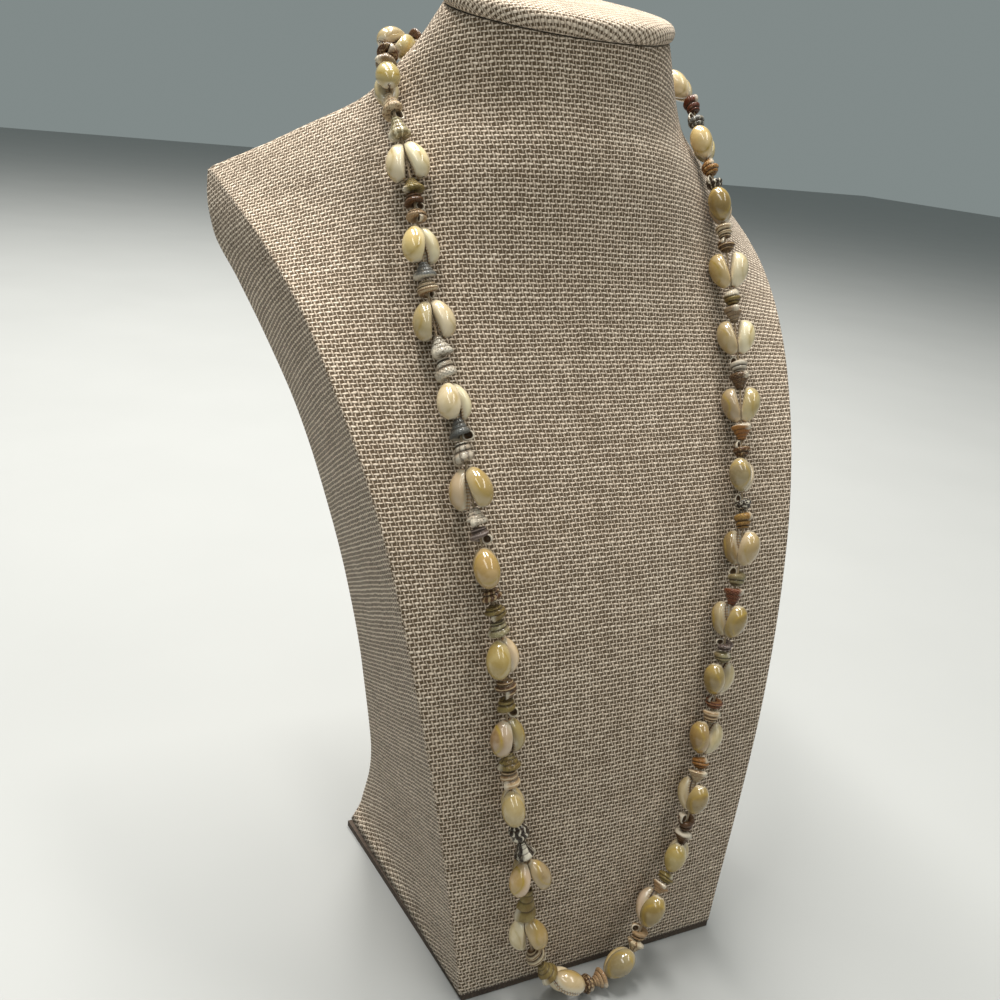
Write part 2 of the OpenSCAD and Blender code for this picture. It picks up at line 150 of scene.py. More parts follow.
# Heights in the weave, a thread's rise being 1: just beside a thread, and the gaps' floor
BESIDE_THREAD = -3.0
GAP_FLOOR = -0.75
LINEN_THREAD_LIGHT = (0.95, 0.82, 0.67)
LINEN_THREAD_DARK = (0.72, 0.585, 0.455)
# Painted shade on the threads' low parts where they dip, then painted shade in the gaps between
# threads
LINEN_DIP_SHADE = (0.29, 0.212, 0.142)
LINEN_GAP_SHADE = (0.118, 0.081, 0.048)
BOARD_COLOURS = ((0.035, 0.024, 0.018), (0.10, 0.07, 0.05))
THREAD_COLOURS = ((0.24, 0.16, 0.09), (0.60, 0.47, 0.31))
# The string's strands, in radians a metre
THREAD_TWIST = 9000.0

# The string, a row for each group of cowries from the left of the neck down and round: the
# finishes of its cowries from left to right as the camera sees them, then the small shells
# that follow it, each by its form, palette, pattern and the degrees round the thread to its
# mouth, which faces the camera at 90
STRING = """
cream green: cone umber speckled 90, cone taupe plain 150
cream green: cone cream speckled -40, cone moss striped 160
pale pale: cone olive beaded 150, collar umber rimmed -35, turban tan beaded 70
yellow pale: cone slate rimmed 170, turban cream ringed -50
cream white: cone chalk speckled 140, collar chalk beaded 170
white pale: cone slate rimmed 10, collar chalk striped 180
cream honey: cone chalk speckled 120, collar mauve ringed 30
honey honey: collar umber striped -60, turban olive beaded 120, collar moss speckled 170
honey yellow: turban umber ringed 90, collar olive rimmed 10
striped ochre: cone olive speckled 160, collar tan ringed 120
honey cream: turban black striped 170, cone black blazed -10
banded dusky dusky: cone olive plain 150
white honey: turban cream ringed 5, cone olive plain 150
white cream: turban umber speckled 150, cone tan plain 160
honey dusky: cone cream striped 150, collar tan plain 30
pink ochre: cone tan rimmed 120, turban olive plain 140
honey cream: cone umber rimmed 150, collar umber rimmed 60
cream ochre: cone cream ringed 150, turban amber plain 150
ochre cream: collar tan ringed 160, turban maroon ringed 60
ochre cream: turban moss plain 150, collar mauve speckled 30
dusky ochre: cone maroon beaded 160, turban moss plain 0
brown cream: collar ochre speckled 160, turban black speckled 40
dusky pink: turban umber speckled 60, cone amber rimmed 150
dusky cream: cone umber beaded 150, turban chalk plain 10
cream pale: cone taupe plain 120, turban olive capped 150
honey white: turban umber ringed 80, collar cream ringed 150
ochre cream: turban black striped 60, turban amber speckled 130
yellow honey: turban slate striped 50, collar maroon plain 150
pale honey: collar moss speckled 40, cone tan plain 90
cream yellow: cone olive speckled 90, turban tan ringed 90
honey cream: cone chalk ringed 90, collar umber striped 90
white yellow: cone taupe striped 90, turban olive plain 90
cream pink: cone slate ringed 90, turban umber plain 90
"""
# Cowries whose slit is turned to the side: (group, place in it) to the turn in degrees
ROLLED = {(7, 0): -15, (10, 0): -28, (12, 0): -18, (13, 0): 30, (14, 1): 120}

# Cowrie finishes: (back, margin, strength of the golden ring)
# The darker finishes, ochre, dusky and brown, go mostly to cowries low on the string: partly their
# own darker colour, partly painted shade
COWRIE_FINISH = {
    "white": ((0.66, 0.54, 0.325), (0.81, 0.69, 0.475), 0.35),
    "pale": ((0.78, 0.60, 0.335), (0.87, 0.73, 0.51), 0.6),
    "cream": ((0.43, 0.31, 0.138), (0.545, 0.42, 0.24), 0.5),
    "yellow": ((0.635, 0.455, 0.19), (0.76, 0.60, 0.36), 0.8),
    "honey": ((0.40, 0.27, 0.082), (0.54, 0.405, 0.195), 0.85),
    "ochre": ((0.25, 0.158, 0.037), (0.375, 0.268, 0.10), 0.8),
    "dusky": ((0.275, 0.192, 0.092), (0.41, 0.31, 0.175), 0.8),
    "brown": ((0.16, 0.088, 0.026), (0.27, 0.17, 0.07), 0.7),
    "pink": ((0.46, 0.32, 0.18), (0.60, 0.46, 0.31), 0.6),
    "green": ((0.43, 0.335, 0.11), (0.56, 0.455, 0.205), 0.8),
    "banded": ((0.42, 0.28, 0.08), (0.61, 0.46, 0.28), 1.3),
    "striped": ((0.26, 0.155, 0.055), (0.52, 0.395, 0.25), 1.3),
}
COWRIE_DEEP = (0.37, 0.25, 0.08)
COWRIE_TIPS = (0.37, 0.26, 0.095)
COWRIE_RING = (0.40, 0.265, 0.045)
COWRIE_BASE = (0.66, 0.58, 0.43)
COWRIE_STAIN = (0.40, 0.19, 0.06)
# Painted shade inside the slit
COWRIE_SLIT_SHADE = (0.09, 0.04, 0.018)
# Teeth along each side of the slit
COWRIE_TEETH = 13

COWRIE_ROWS = 48
COWRIE_COLUMNS = 56
# How far the first and last rows are from the tips, as an angle
COWRIE_TIP_ANGLE = 0.05
# Powers of the egg outline: its wide end's shift, and its fullness
EGG_SHIFT = 1.14
EGG_FULL = 0.53
# The section: how far its columns gather at the base, and powers of the margin and the base
COLUMN_DRAW = 0.35
MARGIN_POWER = 0.92
BASE_POWER = 0.7
# The slit's depth and half width, and its sideways wave with the angle that this runs through
SLIT_DEPTH = 0.0009
SLIT_HALF = 0.00034
SLIT_WAVE = 0.0007
SLIT_TURNS = 2.2 * math.pi
# The margin round the back: its middle along the shell, how short it is and the turn to it
MARGIN_MIDDLE = 0.52
MARGIN_SHORT = 1.7
MARGIN_TURN = 0.62 * math.pi
# How much the colours vary from one cowrie to the next
COWRIE_VARIES = 0.05

# This many of a solid's largest faces are looked at. They lie in one plane when their normals
# and places agree as closely as this, the looser normal being for a plane found before
LARGEST_FACES = 60
SAME_NORMAL = 0.9998
KNOWN_NORMAL = 0.999
SAME_PLANE = 2e-5
# Least area of a face that cuts a cowrie, and how closely one may agree with its base
SMALLEST_FLAT = 1.2e-6
BASE_NORMAL = 0.99

# Small shell palettes: (ground, marking)
PALETTES = {
    "umber": ((0.105, 0.046, 0.016), (0.46, 0.33, 0.18)),
    "maroon": ((0.125, 0.030, 0.012), (0.42, 0.20, 0.085)),
    "black": ((0.024, 0.014, 0.008), (0.68, 0.62, 0.50)),
    "amber": ((0.34, 0.15, 0.035), (0.60, 0.40, 0.18)),
    "ochre": ((0.42, 0.25, 0.07), (0.17, 0.09, 0.03)),
    "tan": ((0.46, 0.31, 0.17), (0.66, 0.53, 0.36)),
    "cream": ((0.66, 0.55, 0.37), (0.20, 0.11, 0.05)),
    "olive": ((0.26, 0.195, 0.065), (0.09, 0.06, 0.022)),
    "moss": ((0.27, 0.23, 0.12), (0.52, 0.46, 0.31)),
    "taupe": ((0.30, 0.225, 0.145), (0.50, 0.41, 0.29)),
    "slate": ((0.115, 0.12, 0.115), (0.42, 0.41, 0.37)),
    "chalk": ((0.66, 0.61, 0.51), (0.20, 0.16, 0.12)),
    "mauve": ((0.165, 0.12, 0.105), (0.34, 0.28, 0.25)),
}
SHELL_CLOUD = (0.62, 0.5, 0.4)
SHELL_WORN = (0.58, 0.48, 0.33)
# Painted shade in the sutures between whorls
SHELL_SUTURE_SHADE = (0.045, 0.026, 0.014)
SHELL_LIP = (0.70, 0.62, 0.49)
# Painted shade inside the mouth
SHELL_HOLLOW_SHADE = (0.13, 0.078, 0.042)
# Patterns: (speckles, stripes along the shell, rings round it, beads on it, and the share of
# the length where a pale wide end begins); half strong stripes come with one broad pale band
PATTERNS = {
    "plain": (0.12, 0, 0, 0, 1), "speckled": (0.9, 0, 0, 0.15, 1),
    "striped": (0.08, 1, 0, 0, 1), "ringed": (0.1, 0, 1, 0.15, 1),
    "beaded": (0.15, 0, 0, 0.7, 1), "rimmed": (0.05, 0, 0, 0.15, 0.84),
    "capped": (0.12, 0, 0.1, 0.15, 0.58), "blazed": (0.08, 0.5, 0, 0, 1),
}
# How long the step to a pale wide end is, as a share of the length
PALE_EDGE = 0.04
# Counts in a turn of a shell
SHELL_STRIPES = 9
SHELL_BEADS = 15
SHELL_GROWTH_LINES = 26
# How much the colours vary from one small shell to the next
SHELL_VARIES = 0.1
# The small shells' half widths beside the CAD's cones, collars and turbans
SHELL_SWELL = {"small_shells_left": 1.14, "small_shells_right": 1.05}

SPIRAL_STEPS = 26
SPIRAL_POINTS = 16
# Outlines as (share of the length, share of the half width), then the whorls, how fast their
# steps grow, how far they overlap and how square they are
FORMS = {
    "cone": (
        [(0, 0.30), (0.1, 0.38), (0.3, 0.52), (0.55, 0.76), (0.75, 0.96), (0.85, 1), (1, 0.92)],
        4.2, 1.5, 0.70, 2.5,
    ),
    "collar": (
        [(0, 0.55), (0.08, 0.66), (0.3, 0.76), (0.5, 0.86), (0.7, 1), (0.85, 1), (1, 0.9)],
        2.7, 1.6, 0.64, 2.2,
    ),
    "turban": (
        [(0, 0.42), (0.08, 0.56), (0.2, 0.78), (0.42, 1), (0.62, 1), (0.85, 0.86), (1, 0.6)],
        3.3, 1.7, 0.66, 2.0,
    ),
}
# How far a blazed cone's pale band is turned from its mouth, so that it faces the camera
BLAZE_AT = math.radians(-100)
# Degrees round the thread at which a mouth faces the camera
MOUTH_FRONT = 90
# Rings inside the mouth: (turn back from the lip in radians, share of the tube's size, how much
# painted shade it carries)
MOUTH_RINGS = [(0.0, 0.86, 0.0), (0.08, 0.78, 0.5), (0.3, 0.72, 1.0), (0.7, 0.6, 1.0)]
# Where the spiral starts and its least half step, as shares of the length, and its inner side
# and how near the tube may come to the axis, as shares of the half width
SPIRAL_START = 0.04
SPIRAL_STEP = 0.02
SPIRAL_INNER = 0.14
SPIRAL_LEAST = 0.1
# Where along the spiral the lip begins and is whole, and how far it flares
LIP_EDGES = (0.972, 0.995)
LIP_FLARE = 0.10
# Where the painted shade in the sutures begins and is deepest, as shares of the way from a whorl's
# crest to its edge
SUTURE_EDGES = (0.45, 0.75)
# How much a shell may be flattened, and how much it leans to one side
SHELL_FLAT = 0.04
SHELL_LEAN = (0.02, 0.06)
# Points this close to a solid's lowest along its axis are its end
END_THICKNESS = 1e-5
# A direction that no small shell's axis has, from which its sides are measured
SHELL_SIDE = (0.3, 0.2, 1.0)

# The foot's front edge lies this far in front of the origin
MIDDLE_Y = STAND_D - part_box("bust_body")[1].y
CAMERA_AT = (CAMERA_FROM_FOOT[0], CAMERA_FROM_FOOT[1] - MIDDLE_Y, CAMERA_FROM_FOOT[2])

rng = np.random.default_rng(7)


# Mesh helpers

def make_piece(name, verts, faces, material, replaced):
    """A smooth mesh piece on the root body, standing for CAD nodes."""
    mesh = bpy.data.meshes.new(name)
    mesh.from_pydata([tuple(v) for v in verts], [], faces)
    mesh.materials.append(material)
    mesh.shade_smooth()
    mesh.update()
    piece = bpy.data.objects.new(name, mesh)
    bpy.context.scene.collection.objects.link(piece)
    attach(piece, "root")
    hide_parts(*replaced)
    return piece


def set_values(mesh, name, values):
    """A number, a vector or, where the name says so, a colour for each point of a mesh."""
    kind, key = ("FLOAT", "value") if values.ndim == 1 else ("FLOAT_VECTOR", "vector")
    if name.endswith("_colour"):
        kind, key = "FLOAT_COLOR", "color"
        values = np.column_stack([np.clip(values, 0, 1), np.ones(len(values))])
    layer = mesh.attributes.new(name, kind, "POINT")
    layer.data.foreach_set(key, np.asarray(values, np.float32).ravel())


def joined(shells):
    """Shells end to end, as the points, faces and {name: values} of one mesh."""
    faces, start = [], 0
    for points, shell_faces, _ in shells:
        faces += [tuple(start + v for v in face) for face in shell_faces]
        start += len(points)
    values = {name: np.concatenate([shell[2][name] for shell in shells]) for name in shells[0][2]}
    return np.concatenate([shell[0] for shell in shells]), faces, values


def make_shells(name, shells, material, node):
    """One piece of several shells in the place of a CAD node."""
    points, faces, values = joined(shells)
    piece = make_piece(name, points, faces, material, [node])
    for layer, numbers in values.items():
        set_values(piece.data, layer, numbers)


def tube_faces(rows, columns):
    """Quads between rows of points that close on themselves."""
    return [
        (r * columns + c, r * columns + (c + 1) % columns,
         (r + 1) * columns + (c + 1) % columns, (r + 1) * columns + c)
        for r in range(rows - 1) for c in range(columns)
    ]


def smoothstep(low, high, x):
    t = np.clip((x - low) / (high - low), 0, 1)
    return t * t * (3 - 2 * t)


def signed_power(x, power):
    return np.sign(x) * np.abs(x) ** power


# Reading the CAD solids

def unit(v):
    return v / np.linalg.norm(v)


def solids_of(node):
    """The loose solids of a CAD node, as (points, triangles) each."""
    mesh = NODES[node].data
    co = np.empty(len(mesh.vertices) * 3)
    mesh.vertices.foreach_get("co", co)
    mesh.calc_loop_triangles()
    tri = np.empty(len(mesh.loop_triangles) * 3, np.int64)
    mesh.loop_triangles.foreach_get("vertices", tri)
    points, index = np.unique(np.round(co.reshape(-1, 3), 7), axis=0, return_inverse=True)
    tri = index.reshape(-1)[tri].reshape(-1, 3)
    parent = np.arange(len(points))

    def root(i):
        while parent[i] != i:
            parent[i] = parent[parent[i]]
            i = parent[i]
        return i

    for a, b, c in tri:
        ra = root(a)
        parent[root(b)] = ra
        parent[root(c)] = ra
    label = np.array([root(i) for i in range(len(points))])
    found = []
    for k in np.unique(label):
        keep = np.flatnonzero(label == k)
        renumber = np.full(len(points), -1)
        renumber[keep] = np.arange(len(keep))
        found.append((points[keep], renumber[tri[label[tri[:, 0]] == k]]))
    return found


def face_normals(points, tri):
    a, b, c = points[tri[:, 0]], points[tri[:, 1]], points[tri[:, 2]]
    n = np.cross(b - a, c - a)
    double = np.linalg.norm(n, axis=1)
    keep = double > 1e-12
    return n[keep] / double[keep, None], double[keep] / 2, a[keep]


def flat_planes(points, tri, least):
    """The flat faces of a solid as (area, normal, point), the largest first."""
    n, area, at = face_normals(points, tri)
    planes = []
    for i in np.argsort(-area)[:LARGEST_FACES]:
        if any(n[i] @ normal > KNOWN_NORMAL and abs((at[i] - p) @ normal) < SAME_PLANE
               for _, normal, p in planes):
            continue
        same = (n @ n[i] > SAME_NORMAL) & (np.abs((at - at[i]) @ n[i]) < SAME_PLANE)
        if area[same].sum() > least:
            planes.append((area[same].sum(), n[i], at[i]))
    return sorted(planes, key=lambda p: -p[0])


# Materials

class Graph:
    """A material's nodes, with short calls for the steps that repeat. Scales are per metre."""

    def __init__(self, name):
        self.material = bpy.data.materials.new(name)
        self.material.use_nodes = True
        self.tree = self.material.node_tree
        self.shader = self.tree.nodes["Principled BSDF"]

    def node(self, kind, **settings):
        n = self.tree.nodes.new(kind)
        for key, value in settings.items():
            setattr(n, key, value)
        return n

    def plug(self, value, socket):
        if isinstance(value, bpy.types.NodeSocket):
            self.tree.links.new(value, socket)
        else:
            socket.default_value = value

    def math(self, operation, *values):
        n = self.node("ShaderNodeMath", operation=operation)
        for value, socket in zip(values, n.inputs):
            self.plug(value, socket)
        return n.outputs[0]

    def add(self, *values):
        return reduce(lambda a, b: self.math("ADD", a, b), values)

    def times(self, *values):
        return reduce(lambda a, b: self.math("MULTIPLY", a, b), values)

    def ramp(self, value, low, high, out_low=0.0, out_high=1.0):
        n = self.node("ShaderNodeMapRange", interpolation_type="SMOOTHSTEP")
        sockets = ("Value", "From Min", "From Max", "To Min", "To Max")
        for v, key in zip((value, low, high, out_low, out_high), sockets):
            self.plug(v, n.inputs[key])
        return n.outputs["Result"]

    def mix(self, share, a, b, how="MIX"):
        n = self.node("ShaderNodeMix", data_type="RGBA", blend_type=how)
        self.plug(share, n.inputs["Factor"])
        for value, socket in zip((a, b), (s for s in n.inputs if s.type == "RGBA")):
            self.plug((*value, 1) if isinstance(value, tuple) else value, socket)
        return next(s for s in n.outputs if s.type == "RGBA")

    def attribute(self, name, output="Vector"):
        return self.node("ShaderNodeAttribute", attribute_name=name).outputs[output]

    def split(self, vector):
        n = self.node("ShaderNodeSeparateXYZ")
        self.plug(vector, n.inputs[0])
        return n.outputs

    def place(self):
        return self.node("ShaderNodeTexCoord").outputs["Object"]

    def noise(self, vector, scale, detail=2.0, output="Fac"):
        n = self.node("ShaderNodeTexNoise")
        self.plug(vector, n.inputs["Vector"])
        n.inputs["Scale"].default_value = scale
        n.inputs["Detail"].default_value = detail
        return n.outputs[output]

    def patches(self, vector, scale, detail, low, high, least=0.0, most=1.0):
        """Soft patches: from least to most, where a noise passes from low to high."""
        return self.ramp(self.noise(vector, scale, detail), low, high, least, most)

    def chance(self, value):
        n = self.node("ShaderNodeTexWhiteNoise", noise_dimensions="1D")
        self.plug(value, n.inputs["W"])
        return n.outputs["Value"]

    def bump(self, height, distance, strength=1.0):
        n = self.node("ShaderNodeBump")
        self.plug(height, n.inputs["Height"])
        n.inputs["Distance"].default_value = distance
        n.inputs["Strength"].default_value = strength
        self.tree.links.new(n.outputs[0], self.shader.inputs["Normal"])

    def finish(self, colour, roughness, **uniform):
        self.plug(colour, self.shader.inputs["Base Color"])
        self.plug(roughness, self.shader.inputs["Roughness"])
        for key, value in uniform.items():
            self.shader.inputs[key.replace("_", " ")].default_value = value
        return self.material


def linen_material(name, thicker=0.0):
    """Open plain weave: light threads over gaps filled with painted shade, counted along the
    cloth's map; the threads also carry painted shade on their low parts and where the warp lies on
    top. Lengths are in thread spacings, and threads are thicker by this much to each side."""
    g = Graph(name)
    counted = g.split(g.node("ShaderNodeUVMap", uv_map="threads").outputs[0])
    place = g.place()
    wander = g.split(g.noise(place, 38, 2.0, "Color"))
    slub = g.split(g.noise(place, 420, 1.0, "Color"))

    def line(axis):
        shifted = g.add(counted[axis], g.times(g.add(wander[axis], -0.5), 0.8))
        return g.add(shifted, g.times(g.add(slub[axis], -0.5), 0.5))

    across, up = line(0), line(1)
    iu, iv = g.math("FLOOR", across), g.math("FLOOR", up)
    fu = g.add(g.math("SUBTRACT", across, iu), -0.5)
    fv = g.add(g.math("SUBTRACT", up, iv), -0.5)
    parity = g.add(g.times(g.math("FLOORED_MODULO", g.add(iu, iv), 2.0), -2.0), 1.0)
    # The warp leans from one weft thread to the next
    lean_u = g.add(fu, g.times(g.math("SINE", g.times(fv, math.pi)), g.times(parity, WARP_LEAN)))
    swelling = g.times(g.add(g.noise(place, 300, 1.0), -0.5), THREAD_SWELLS)

    def thickness(count, least):
        return g.add(g.times(g.chance(count), THREAD_VARIES), least + thicker, swelling)

    def crown(f, thick):
        share = g.math("DIVIDE", f, thick)
        left = g.math("SUBTRACT", 1.0, g.times(share, share))
        return g.math("SQRT", g.math("MAXIMUM", left, 0.0))

    def over(f, side):
        return g.times(g.math("COSINE", g.times(f, math.pi)), parity, 0.5 * side)

    def high(crowned, riding):
        """A thread's height, or far below the cloth beside the thread."""
        beside = g.times(g.math("LESS_THAN", crowned, 0.02), BESIDE_THREAD)
        return g.add(g.times(crowned, 0.5), riding, beside)

    high_u = high(crown(lean_u, thickness(iu, WARP_THICK)), over(fv, 1))
    high_v = high(crown(fv, thickness(g.add(iv, 0.5), WEFT_THICK)), over(fu, -1))
    height = g.math("MAXIMUM", g.math("MAXIMUM", high_u, high_v), GAP_FLOOR)
    warp_on_top = g.math("GREATER_THAN", high_u, high_v)
    tint = g.add(g.times(g.chance(g.add(iu, 0.25)), warp_on_top),
                 g.times(g.chance(g.add(iv, 0.75)), g.math("SUBTRACT", 1.0, warp_on_top)))
    fibre = g.noise(place, 2600, 2.0)
    worn = g.times(g.noise(place, 90, 2.0), 0.3)
    lightness = g.add(g.times(tint, 0.25), g.times(fibre, 0.6), worn)
    thread = g.mix(g.ramp(lightness, 0.2, 0.95), LINEN_THREAD_DARK, LINEN_THREAD_LIGHT)
    # Painted shade: the warp where it lies on top, the threads' low parts and the gaps between
    # threads are darkened towards shade colours
    shaded = g.mix(g.times(warp_on_top, 0.35), thread, LINEN_DIP_SHADE)
    lit = g.mix(g.ramp(height, -0.1, 0.7), LINEN_DIP_SHADE, shaded)
    cloth = g.mix(g.ramp(height, -0.6, -0.1), LINEN_GAP_SHADE, lit)
    g.bump(g.add(height, g.times(fibre, 0.2)), 0.0004, 0.9)
    return g.finish(cloth, 0.9, Sheen_Weight=0.1, Specular_IOR_Level=0.2)


def cowrie_material():
    """Porcelain-like shell: a clouded back in a thin golden ring, paler margins, a toothed slit
    darkened with painted shade.
    """
    g = Graph("cowrie")
    coat = g.split(g.attribute("coat"))
    along, from_slit, from_top = coat[0], coat[1], coat[2]
    place = g.place()
    cloud = g.noise(place, 130, 3.0)
    edge = g.add(from_top, g.times(g.add(cloud, -0.5), 0.22))
    back = g.attribute("back_colour", "Color")
    margin = g.attribute("margin_colour", "Color")
    body = g.mix(g.ramp(edge, 0.45, 1.0), back, margin)
    cloudy = g.mix(g.patches(place, 210, 3.0, 0.42, 0.68, 0.0, 0.5), body, margin)
    deeper = g.mix(g.patches(place, 95, 2.0, 0.52, 0.72, 0.0, 0.45), cloudy, COWRIE_DEEP)
    tips = g.mix(g.ramp(along, 0.72, 1.0, 0.0, 0.4), deeper, COWRIE_TIPS)
    glow = g.times(g.ramp(edge, 0.42, 0.60), g.ramp(edge, 0.62, 0.80, 1.0, 0.0))
    line = g.times(g.ramp(edge, 0.55, 0.60), g.ramp(edge, 0.62, 0.70, 1.0, 0.0))
    broken = g.patches(place, 240, 2.0, 0.38, 0.62, 0.15, 1.0)
    drawn = g.add(g.times(glow, 0.4), g.times(line, g.times(broken, 0.75)))
    ringed = g.mix(g.times(drawn, g.attribute("ring", "Fac")), tips, COWRIE_RING)
    base_white = g.mix(g.ramp(from_slit, 1.6, 4.2, 0.8, 0.0), ringed, COWRIE_BASE)
    teeth = g.math("SINE", g.times(along, 2 * math.pi * COWRIE_TEETH))
    near = g.times(g.ramp(from_slit, 1.0, 2.0, 1.0, 0.0), g.ramp(from_slit, 0.2, 0.5))
    stain = g.times(near, g.ramp(teeth, -0.2, 0.6, 0.0, 0.7))
    stained = g.mix(stain, base_white, COWRIE_STAIN)
    # Painted shade inside the slit
    slit = g.mix(g.ramp(from_slit, 0.2, 0.6, 1.0, 0.0), stained, COWRIE_SLIT_SHADE)
    pores = g.times(g.noise(place, 700, 2.0), 0.10)
    g.bump(g.add(g.times(near, teeth, 0.6), pores), 0.00012, 0.5)
    rough = g.patches(place, 160, 2.0, 0.3, 0.7, 0.22, 0.34)
    return g.finish(slit, rough, Coat_Weight=1.0, Coat_Roughness=0.03, Coat_IOR=1.7,
                    Specular_IOR_Level=0.25)


def small_shell_material():
    """Small sea shells: a ground and a marking laid as speckles, stripes, rings or beads, with
    painted shade in the sutures and inside the mouth.
    """
    g = Graph("small_shell")
    whorl = g.split(g.attribute("whorl"))
    turns, over_tube = whorl[0], whorl[2]
    pattern = g.split(g.attribute("pattern"))
    opening = g.split(g.attribute("opening"))
    # The hollow and suture masks place painted shade: inside the mouth and in the grooves between
    # whorls
    hollow, lip_here, suture = opening[0], opening[1], opening[2]
    knobs = g.attribute("knobs", "Fac")
    ground = g.attribute("ground_colour", "Color")
    marking = g.attribute("marking_colour", "Color")
    place = g.place()
    bend = g.noise(place, 420, 2.0)
    grains = g.patches(place, 1100, 2.0, 0.50, 0.60)
    striped = g.add(g.times(turns, 2 * math.pi * SHELL_STRIPES), g.times(bend, 9.0))
    stripe = g.ramp(g.math("SINE", striped), 0.40, 0.80)
    band = g.ramp(g.math("SINE", g.add(g.times(over_tube, 7.0), g.times(bend, 3.0))), 0.1, 0.7)
    bead = g.times(g.math("COSINE", g.times(turns, 2 * math.pi * SHELL_BEADS)),
                   g.math("COSINE", g.times(over_tube, 3 * math.pi)))
    raised = g.times(g.ramp(bead, 0.0, 0.7), knobs)
    marks = (g.times(mark, share) for mark, share in zip((grains, stripe, band), pattern))
    mark = g.add(*marks)
    # Bead tops are lighter: partly the beads' own colour, partly a painted glint
    mark = g.math("MINIMUM", g.add(mark, g.times(raised, 0.55)), 1.0)
    # Half strong stripes mark a blazed cone, whose broad pale band is turned from its mouth
    round_it = g.add(g.times(turns, 2 * math.pi), BLAZE_AT - 2 * math.pi * FORMS["cone"][1])
    blaze = g.ramp(g.math("COSINE", g.add(round_it, g.times(bend, 0.5))), 0.88, 0.94)
    blazed = g.times(g.ramp(pattern[1], 0.3, 0.45), g.ramp(pattern[1], 0.55, 0.8, 1.0, 0.0))
    mark = g.math("MAXIMUM", mark, g.times(blaze, blazed))
    clouded = g.patches(place, 260, 3.0, 0.3, 0.7, 0.0, 0.8)
    marked = g.mix(g.times(mark, 0.9), g.mix(clouded, ground, SHELL_CLOUD, "MULTIPLY"), marking)
    worn = g.mix(g.patches(place, 380, 3.0, 0.60, 0.72, 0.0, 0.25), marked, SHELL_WORN)
    # Painted shade in the sutures, then inside the mouth
    grooved = g.mix(g.times(suture, 0.75), worn, SHELL_SUTURE_SHADE)
    lip = g.mix(g.times(lip_here, 0.85), grooved, SHELL_LIP)
    dark = g.mix(hollow, lip, SHELL_HOLLOW_SHADE)
    relief = g.add(g.times(g.noise(place, 900, 3.0), 0.8), g.times(bead, knobs))
    growth = g.times(g.math("SINE", g.times(turns, 2 * math.pi * SHELL_GROWTH_LINES)), 0.25)
    ribs = g.times(stripe, g.times(pattern[1], 0.4))
    g.bump(g.add(relief, growth, ribs), 0.00022, 0.7)
    rough = g.patches(place, 240, 2.0, 0.3, 0.7, 0.3, 0.5)
    return g.finish(dark, rough, Coat_Weight=0.35, Coat_Roughness=0.08, Specular_IOR_Level=0.2)


def board_material():
    g = Graph("board")
    place = g.place()
    fibres = g.noise(place, 900, 3.0)
    patch = g.noise(place, 60, 3.0)
    colour = g.mix(g.ramp(g.add(fibres, g.times(patch, 0.6)), 0.4, 1.1), *BOARD_COLOURS)
    g.bump(fibres, 0.0002, 0.5)
    return g.finish(colour, 0.85)


def thread_material():
    """Twisted cord, with its strands as a fine slanting bump."""
    g = Graph("thread")
    place = g.place()
    at = g.split(place)
    twist = g.math("SINE", g.times(g.add(at[2], g.add(at[0], at[1])), THREAD_TWIST))
    fuzz = g.noise(place, 3000, 2.0)
    colour = g.mix(g.ramp(g.add(twist, fuzz), -0.6, 1.6), *THREAD_COLOURS)
    g.bump(g.add(twist, fuzz), 0.0001, 0.8)
    return g.finish(colour, 0.8)


def floor_material():
    g = Graph("floor")
    return g.finish(g.mix(g.noise(g.place(), 6, 3.0), *FLOOR_COLOURS), 0.6)


# The bust's cloth

def slopes(column):
    """Slopes at the start and end of each step of a curve through a column of the sections:
    smooth and never overshooting, but with a corner where a column turns at the tips."""
    steps = np.diff(SECTIONS[:, column]) / np.diff(SECTIONS[:, 0])
    a, b = steps[:-1], steps[1:]
    inner = np.where(a * b <= 0, 0, 2 * a * b / np.where(a + b == 0, 1, a + b))
    starts, ends = np.concatenate([[steps[0]], inner]), np.concatenate([inner, [steps[-1]]])
    tips = np.searchsorted(SECTIONS[:, 0], TIPS_AT)
    if steps[tips - 1] * steps[tips] <= 0:
        ends[tips - 1], starts[tips] = steps[tips - 1], steps[tips]
    return starts, ends


def section_at(h):
    """A section at a height share, as a dictionary of its columns."""
    i = int(np.clip(np.searchsorted(SECTIONS[:, 0], h, side="right") - 1, 0, len(SECTIONS) - 2))
    span = SECTIONS[i + 1, 0] - SECTIONS[i, 0]
    t = (h - SECTIONS[i, 0]) / span
    weights = (2 * t**3 - 3 * t**2 + 1, 3 * t**2 - 2 * t**3,
               (t**3 - 2 * t**2 + t) * span, (t**3 - t**2) * span)
    values = {"height": h}
    for c, name in enumerate(SECTION_COLUMNS[1:], start=1):
        starts, ends = slopes(c)
        values[name] = np.dot(weights, (SECTIONS[i, c], SECTIONS[i + 1, c], starts[i], ends[i]))
    return values


def half_width(s, share, foot_w):
    low = foot_w / 2 if s["height"] <= TIPS_AT else NECK_W / 2
    return low + (SHOULDER_W / 2 - low) * share


def front_curve(s, x_share):
    hollow = np.maximum(0, 1 - np.abs(x_share) ** s["round"]) ** (1 / s["full"])
    y = STAND_D * (s["fold_y"] + (s["front_y"] - s["fold_y"]) * hollow)
    return np.stack([half_width(s, s["fold_x"], FOOT_FRONT_W) * x_share, y], axis=-1)


def back_curve(s, turn):
    y = STAND_D * (s["back_y"] + s["bulge"] * np.abs(np.cos(turn)))
    return np.stack([half_width(s, s["back_x"], FOOT_BACK_W) * np.sin(turn), y], axis=-1)


